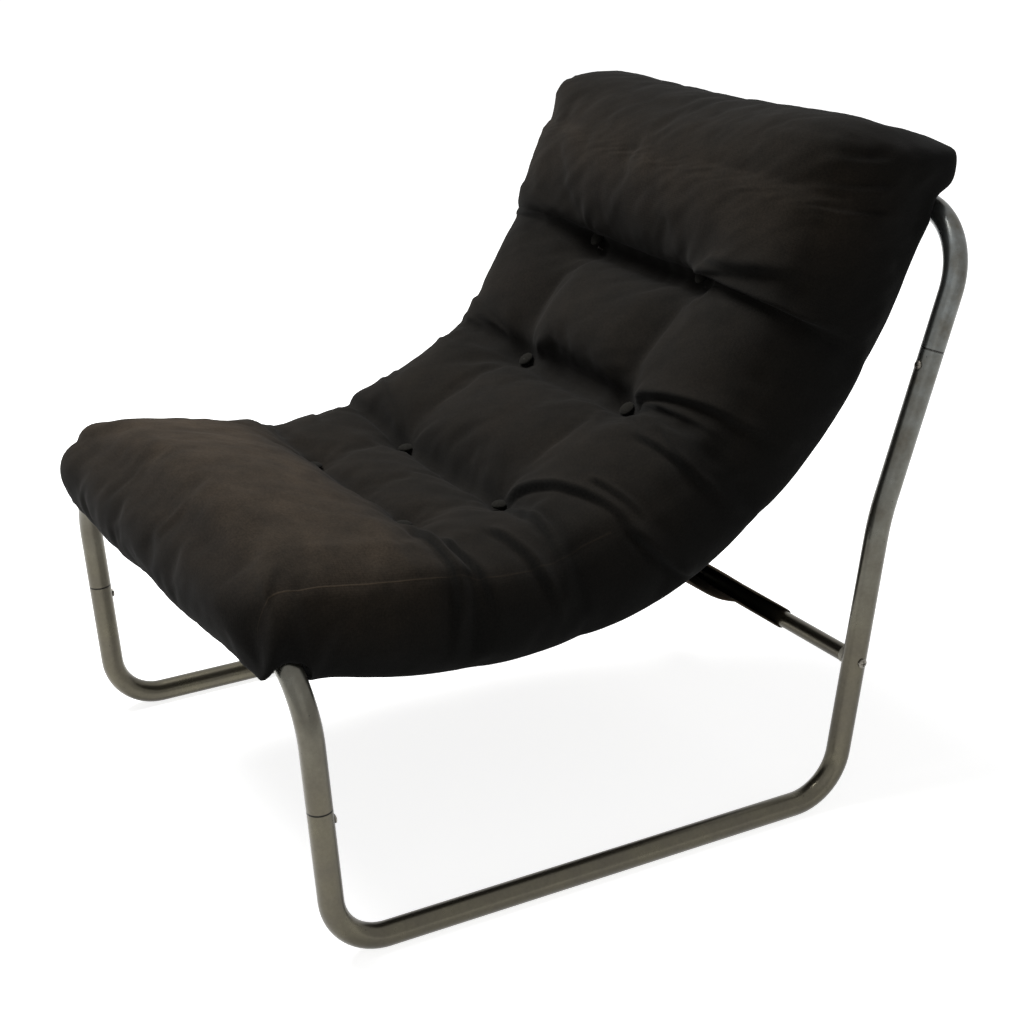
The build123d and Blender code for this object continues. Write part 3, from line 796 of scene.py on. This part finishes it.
# one pull: a step in the cover along a line, and the share of the fading that it leaves, which paints shade
# along its crease
def pull(across, along, row, begin, end, depth, width, side):
    begin = np.array((begin[0] * side, begin[1])) * mm + np.array((0, rows[row]))
    end = np.array((end[0] * side, end[1])) * mm + np.array((0, rows[row]))
    line = end - begin
    length = np.linalg.norm(line)
    line /= length
    share = ((across - begin[0]) * line[0] + (along - begin[1]) * line[1]) / length
    away = ((along - begin[1]) * line[0] - (across - begin[0]) * line[1]) / (width * mm)
    strength = ease(share, *folds["pullRise"]) * (1 - ease(share, *folds["pullFall"]))
    shade, deep, reach = folds["pullShade"]
    creaseShadeFactor = 1 - shade * strength * min(depth / deep, 1.0) * bell(away, reach)
    steepness, decay = folds["pullStep"]
    return depth * mm * strength * np.tanh(steepness * away) * np.exp(-decay * np.abs(away)), creaseShadeFactor


# fans round the buttons, gathers and creases along the rows
def tuftFolds(across, along, rng):
    lift = np.zeros(len(across))
    depth, reach, spokes = folds["fan"]
    for row in rows:
        for side in (1, -1):
            dx, ds = across * side - cushion["tuft"], along - row
            away = np.hypot(dx, ds)
            angle = np.arctan2(ds, dx)
            size = depth * (away / reach) * np.exp(1 - away / reach)
            bent = folds["fanBend"] * np.sin(2 * angle + rng.uniform(*folds["phase"]))
            lift += size * np.sin(spokes * angle + bent + rng.uniform(*folds["phase"]))
    depth, reach, spacing = folds["gather"]
    drift, run = folds["gatherDrift"]
    for row in rows:
        shift = rng.uniform(*folds["phase"])
        waves = np.sin(2 * pi * across / spacing + drift * np.sin(across / run + shift) + shift)
        lift += depth * bell(along - row, reach) * waves
    nearEnd, farEnd = folds["creaseEnds"]
    between = (1 - ease(across, *nearEnd)) * (1 - ease(-across, *farEnd))
    for row, depth, width in zip(rows, folds["crease"], folds["creaseWidth"]):
        lift -= depth * np.exp(-np.abs(along - row) / width) * between
    return lift


# the pulls on the near side, and weaker ones like them on the far side, with the painted shade along their
# creases
def pullFolds(across, along, rng):
    lift = np.zeros(len(across))
    creaseShadeFactor = np.ones(len(across))
    for row, begin, end, depth, width in folds["pulls"]:
        for side, share in ((1, 1.0), (-1, folds["farShare"])):
            sway = rng.uniform(-folds["farSway"], folds["farSway"]) * (side < 0)
            swayed = (end[0], end[1] + sway)
            raised, kept = pull(across, along, row, begin, swayed, depth * share, width, side)
            lift += raised
            creaseShadeFactor *= kept
    return lift, creaseShadeFactor


# the sunk line and the puckers of the seams, and wrinkles in the front end
def seamFolds(across, along, toSide):
    ends = np.maximum(cushion["edges"][0] - along, along - cushion["edges"][-1])
    onEnd = ease(ends, -folds["endTurn"], folds["endTurn"])
    nearEnd = (ends > -folds["endReach"]) & (np.abs(toSide) >= np.abs(ends))
    toSeam = np.where(nearEnd, ends, toSide)
    depth, width = folds["seam"]
    lift = -depth * bell(toSeam, width)
    depth, reach, spacing = folds["pucker"]
    drift, run = folds["puckerDrift"]
    travelled = along + np.abs(across) * onEnd
    waves = np.sin(2 * pi * travelled / spacing + drift * np.sin(travelled / run))
    lift += depth * np.exp(-np.abs(toSeam) / reach) * waves
    depth, width, height = folds["frontWrinkle"]
    calm, calmStart, calmEnd = folds["frontCalm"]
    front = onEnd * (along < 0) * (1 - calm * ease(across, calmStart, calmEnd))
    for k in np.flatnonzero(front):
        spot = Vector((across[k] / width, along[k] / height, folds["noiseLevels"][0]))
        lift[k] += depth * front[k] * noise.noise(spot)
    return lift


# fine slanting crinkles, and broad lumps of the filling
def looseFolds(place, across, along):
    depth, width, length = folds["crinkle"]
    least, run = folds["crinkleRise"]
    strength = depth * (least + (1 - least) * ease(along - rows[-1], 0.0, run))
    slant = np.stack(((across - along) / width, (across + along) / length), axis=1)
    lift = strength * np.array([noise.noise(Vector((*p, folds["noiseLevels"][1]))) for p in slant])
    height, size = folds["lump"]
    return lift + height * np.array([noise.fractal(Vector(p) / size, *folds["lumpDetail"]) for p in place])


def wrinkle(piece):
    mesh = piece.data
    place = coordinates(mesh)
    across, along, level = (attribute(mesh, name) for name in ("across", "along", "level"))
    rng = np.random.default_rng(folds["seed"])
    toSide = np.abs(across) - np.array([crossSection(s)["base"] for s in along])
    lift = tuftFolds(across, along, rng)
    pulled, creaseShadeFactor = pullFolds(across, along, rng)
    lift += pulled + seamFolds(across, along, toSide) + looseFolds(place, across, along)
    # painted shade: the canvas is drawn darker along the pulls' creases
    mesh.attributes["fadeAndShade"].data.foreach_set("value", attribute(mesh, "fadeAndShade") * creaseShadeFactor)
    unsewn = 0.5 * (along > folds["seamEnd"])  # metres, too far for the sewn line to show
    mesh.attributes["seam"].data.foreach_set("value", 1.0 + toSide + unsewn)
    normals = np.empty(len(across) * 3)
    mesh.vertex_normals.foreach_get("vector", normals)
    lift *= ease(level, *folds["upper"])
    place += normals.reshape(-1, 3) * lift[:, None]
    keepClear(place)
    mesh.vertices.foreach_set("co", place.ravel())
    mesh.update()


# moves points of the cover that fall in a rail out to its surface
def keepClear(place):
    down = railDrop(place[:, 0])
    clear = (tube["radius"] + cushion["railGap"]) * tube["bend"] / (tube["bend"] - down)
    for rail, lean in ((frontRail, radians(tube["frontLean"])), (topRail, radians(tube["topLean"]))):
        centre = np.stack((rail.x + sin(lean) * down, rail.y - cos(lean) * down), axis=1)
        away = place[:, 1:] - centre
        reach = np.linalg.norm(away, axis=1)
        inside = reach < clear
        place[inside, 1:] += away[inside] * ((clear / np.maximum(reach, 1e-9) - 1)[inside])[:, None]


cushionPiece = makeCushion()
settle(cushionPiece)
refine(cushionPiece)
wrinkle(cushionPiece)
print("cushion made", len(cushionPiece.data.polygons))


# covered buttons: domed, with the cloth gathered in at the rim
button = {
    "radius": 8.8 * mm,
    "height": 5.5 * mm,
    "rim": 2.0 * mm,
    "foot": 0.86,
    "lift": 1.8 * mm,
    "topLevel": 0.98,  # points of the cover above this are its top
    "segments": 40,
    "rings": 7,
    "gathers": 10,
    "gatherDepth": 0.25 * mm,
}
buttonNodes = {
    "frontRollButtons": "front_roll_buttons",
    "seatButtons": "seat_buttons",
    "backButtons": "back_buttons",
    "headrestButtons": "headrest_buttons",
}


def addButton(bm, cloth, x, row):
    mesh = cushionPiece.data
    across, along, level = (attribute(mesh, key) for key in ("across", "along", "level"))
    under = (np.hypot(across - x, along - row) < button["radius"]) & (level > button["topLevel"])
    seat = Vector(coordinates(mesh)[under].mean(axis=0))
    angle = onSling(row)[1]
    seat += Vector((0, -sin(angle), cos(angle))) * button["lift"]
    made = []
    for ring in range(button["rings"] + 1):
        turn = pi / 2 * ring / button["rings"]
        height = button["rim"] + (button["height"] - button["rim"]) * cos(turn)
        made.append(bm.verts.new((button["radius"] * sin(turn), 0, height)))
    made.append(bm.verts.new((button["radius"] * button["foot"], 0, 0)))
    profile = [bm.edges.new(pair) for pair in zip(made, made[1:])]
    bmesh.ops.spin(bm, geom=made + profile, cent=(0, 0, 0), axis=(0, 0, 1), angle=2 * pi,
                   steps=button["segments"], use_merge=True)
    shell = [v for v in bm.verts if not v.tag]
    bmesh.ops.remove_doubles(bm, verts=shell, dist=1e-6)
    shell = [v for v in bm.verts if not v.tag]
    for vert in shell:
        out = vert.co.xy.length / button["radius"]
        vert.co.z += button["gatherDepth"] * out**3 * sin(button["gathers"] * atan2(vert.co.y, vert.co.x))
    for face in {f for v in shell for f in v.link_faces}:
        for loop in face.loops:
            loop[cloth].uv = loop.vert.co.xy
    placed = Matrix.Translation(seat) @ Matrix.Rotation(angle, 4, "X")
    bmesh.ops.transform(bm, matrix=placed, verts=shell)
    for vert in shell:
        vert.tag = True


for (name, node), row in zip(buttonNodes.items(), rows):
    bm = bmesh.new()
    cloth = bm.loops.layers.uv.new("cloth")
    for side in (1, -1):
        addButton(bm, cloth, side * cushion["tuft"], row)
    bmesh.ops.recalc_face_normals(bm, faces=bm.faces)
    addPiece(name, bm, buttonCanvas, node)
print("buttons made")


def roundPath(centre, radius, begin, turn, steps=24):
    angles = [radians(begin + turn * step / steps) for step in range(steps + 1)]
    return [centre + Vector((cos(a), sin(a))) * radius for a in angles]


def pathLength(points):
    return sum((b - a).length for a, b in zip(points, points[1:]))


# a cloth strip swept sideways from a line in the YZ plane, with stitch lines at distances from either end
def makeStrip(name, points, settings, material, node, ripple):
    width, columns = settings["width"], settings["columns"]
    bm = bmesh.new()
    chain = [bm.verts.new((-width / 2, p.x, p.y)) for p in points]
    line = [bm.edges.new(pair) for pair in zip(chain, chain[1:])]
    bmesh.ops.spin(bm, geom=chain + line, cent=(0, 0, 0), axis=(1, 0, 0), angle=0,
                   dvec=(width / columns, 0, 0), steps=columns)
    bmesh.ops.recalc_face_normals(bm, faces=bm.faces)
    cloth = bm.loops.layers.uv.new("cloth")
    fadeAndShade = bm.verts.layers.float.new("fadeAndShade")
    seam = bm.verts.layers.float.new("seam")
    travelled = np.array([pathLength(points[: k + 1]) for k in range(len(points))])
    stitches = [d if d > 0 else travelled[-1] + d for d in settings["stitches"]]
    spots = np.array([vert.co.yz for vert in bm.verts])
    nearest = np.argmin(np.abs(spots[:, None] - np.array(points)[None]).sum(axis=2), axis=1)
    for vert, distance in zip(bm.verts, travelled[nearest]):
        vert[fadeAndShade] = settings["fadeAndShade"]
        vert[seam] = 1 + min((distance - stitch for stitch in stitches), key=abs)
    for face in bm.faces:
        for loop in face.loops:
            loop[cloth].uv = (loop.vert.co.x, loop.vert.co.y + loop.vert.co.z)
    ripple(bm)
    piece = addPiece(name, bm, material, node)
    thick = piece.modifiers.new("thickness", "SOLIDIFY")
    thick.thickness = settings["thickness"]
    thick.offset = 0.0
    return piece


# sling with a sleeve sewn round each rail
def slingPath():
    near, far = sling["flap"]
    gap = sling["flapGap"]
    steps = int(slingLength / sling["step"])
    startTurn = sling["startAngle"] - 90
    topTurn = atan2(*reversed(onSling(slingLength)[0] - topRail)) * 180 / pi
    wrap = sling["wrap"]
    flap = np.linspace(near, far, sling["flapPoints"])
    frontFlap = [onSling(distance, gap)[0] for distance in reversed(flap)]
    topFlap = [onSling(slingLength - distance, -gap)[0] for distance in flap]
    return (
        frontFlap
        + roundPath(frontRail, sling["sleeve"], startTurn - wrap, wrap)
        + [onSling(slingLength * k / steps)[0] for k in range(1, steps)]
        + roundPath(topRail, sling["sleeve"], topTurn, -wrap)
        + topFlap
    )


def slingRipple(bm):
    for vert in bm.verts:
        loose = ease(abs(vert.co.x), sling["rippleFrom"], sling["width"] / 2)
        clear = min((vert.co.yz - frontRail).length, (vert.co.yz - topRail).length)
        loose *= ease(clear, *sling["rippleClear"])
        wave = sin(2 * pi * vert.co.y / sling["rippleLength"] + vert.co.x)
        vert.co.z -= sling["ripple"] * loose * (1 + wave)


slingPoints = slingPath()
slingPiece = makeStrip("canvasSling", slingPoints, sling, slingCanvas, "canvas_sling", slingRipple)
print("sling made", round(pathLength(slingPoints), 3))


# loop: a band sewn under the sling and wrapped round the rear stretcher
loop = {
    "width": 360 * mm,
    "seams": (485 * mm, 459 * mm),
    "flap": 20 * mm,
    "gap": 2.2 * mm,
    "radius": stretcherRadius + 1.3 * mm,
    "wrap": 185,
    "points": {"top": 12, "wrap": 16, "under": 6, "belly": 16},
    "belly": [Vector(p) * mm for p in ((120, -81), (69, -68), (59, -38))],
    "thickness": 1.6 * mm,
    "columns": 48,
    "ripple": 1.6 * mm,
    "rippleSize": 70 * mm,
    "rippleDrop": 0.6,
    "rippleClear": (16 * mm, 50 * mm),
    "stitches": [d * mm for d in (4, 14, -14, -4)],
    "fadeAndShade": 0.5,
}


def loopPath():
    upper = onSling(loop["seams"][0], -loop["gap"])[0]
    lower = onSling(loop["seams"][1], -loop["gap"])[0]
    upperFlap = onSling(loop["seams"][0] + loop["flap"], -loop["gap"])[0]
    lowerFlap = onSling(loop["seams"][1] - loop["flap"], -loop["gap"])[0]
    belly = [lower + p for p in loop["belly"]]
    slope = atan2(*reversed(stretcher - upper)) * 180 / pi
    count = loop["points"]
    wrapped = roundPath(stretcher, loop["radius"], slope + 90, -loop["wrap"], count["wrap"])
    top = [upper.lerp(wrapped[0], k / count["top"]) for k in range(count["top"])]
    under = [wrapped[-1].lerp(belly[0], k / count["under"]) for k in range(1, count["under"])]
    handles = [Vector((*p, 0)) for p in (*belly, lower)]
    curve = geometry.interpolate_bezier(*handles, count["belly"])
    return [upperFlap] + top + wrapped + under + [p.xy for p in curve] + [lowerFlap]


def loopRipple(bm):
    for vert in bm.verts:
        loose = ease((vert.co.yz - stretcher).length, *loop["rippleClear"])
        wave = noise.noise(vert.co / loop["rippleSize"])
        vert.co.z += loop["ripple"] * loose * (wave - loop["rippleDrop"])


loopPoints = loopPath()
loopPiece = makeStrip("stretcherLoop", loopPoints, loop, paintedLightLoopCanvas, "stretcher_loop", loopRipple)
print("loop made", round(pathLength(loopPoints), 3))


# white floor and background, soft light at a plain level
stageSettings = {
    "floorSize": 40,
    "floorColour": "#dededd",
    "floorGlow": 0.82,
    "world": 0.2,
    "lamps": [
        {"name": "key", "place": (-0.9, -0.8, 3.3), "size": 1.7, "watts": 185},
        {"name": "fill", "place": (2.8, -1.4, 1.8), "size": 2.4, "watts": 8},
    ],
}


def seenDirectly(tree):
    rays = addNode(tree, "ShaderNodeLightPath").outputs
    mirrored = addNode(tree, "ShaderNodeMath",
                       {0: rays["Is Glossy Ray"], 1: rays["Is Transmission Ray"]}, operation="MAXIMUM")
    seen = addNode(tree, "ShaderNodeMath",
                   {0: rays["Is Camera Ray"], 1: mirrored.outputs["Value"]}, operation="MAXIMUM")
    return seen.outputs["Value"]


def makeStage(settings):
    bm = bmesh.new()
    bmesh.ops.create_grid(bm, x_segments=1, y_segments=1, size=settings["floorSize"] / 2)
    mesh = bpy.data.meshes.new("floor")
    bm.to_mesh(mesh)
    bm.free()
    floor = bpy.data.objects.new("floor", mesh)
    scene.collection.objects.link(floor)
    material, tree, shader = newMaterial("paleFloor")
    shader.inputs["Base Color"].default_value = linear(settings["floorColour"])
    shader.inputs["Roughness"].default_value = 0.9
    glow = addNode(tree, "ShaderNodeMath",
                   {0: seenDirectly(tree), 1: settings["floorGlow"]}, operation="MULTIPLY")
    shader.inputs["Emission Color"].default_value = (1, 1, 1, 1)
    tree.links.new(glow.outputs["Value"], shader.inputs["Emission Strength"])
    mesh.materials.append(material)
    world = bpy.data.worlds.new("studio")
    scene.world = world
    world.use_nodes = True
    tree = world.node_tree
    strength = addNode(tree, "ShaderNodeMapRange",
                       {"Value": seenDirectly(tree), "To Min": settings["world"], "To Max": 1.0})
    background = tree.nodes["Background"]
    background.inputs["Color"].default_value = (1, 1, 1, 1)
    tree.links.new(strength.outputs["Result"], background.inputs["Strength"])
    low, high = cadBox
    for lamp in settings["lamps"]:
        data = bpy.data.lights.new(lamp["name"], "AREA")
        data.size = lamp["size"]
        data.energy = lamp["watts"]
        light = bpy.data.objects.new(lamp["name"], data)
        scene.collection.objects.link(light)
        light.location = lamp["place"]
        light.rotation_euler = ((low + high) / 2 - light.location).to_track_quat("-Z", "Y").to_euler()
    scene.view_settings.view_transform = "Standard"


makeStage(stageSettings)
print("stage set")
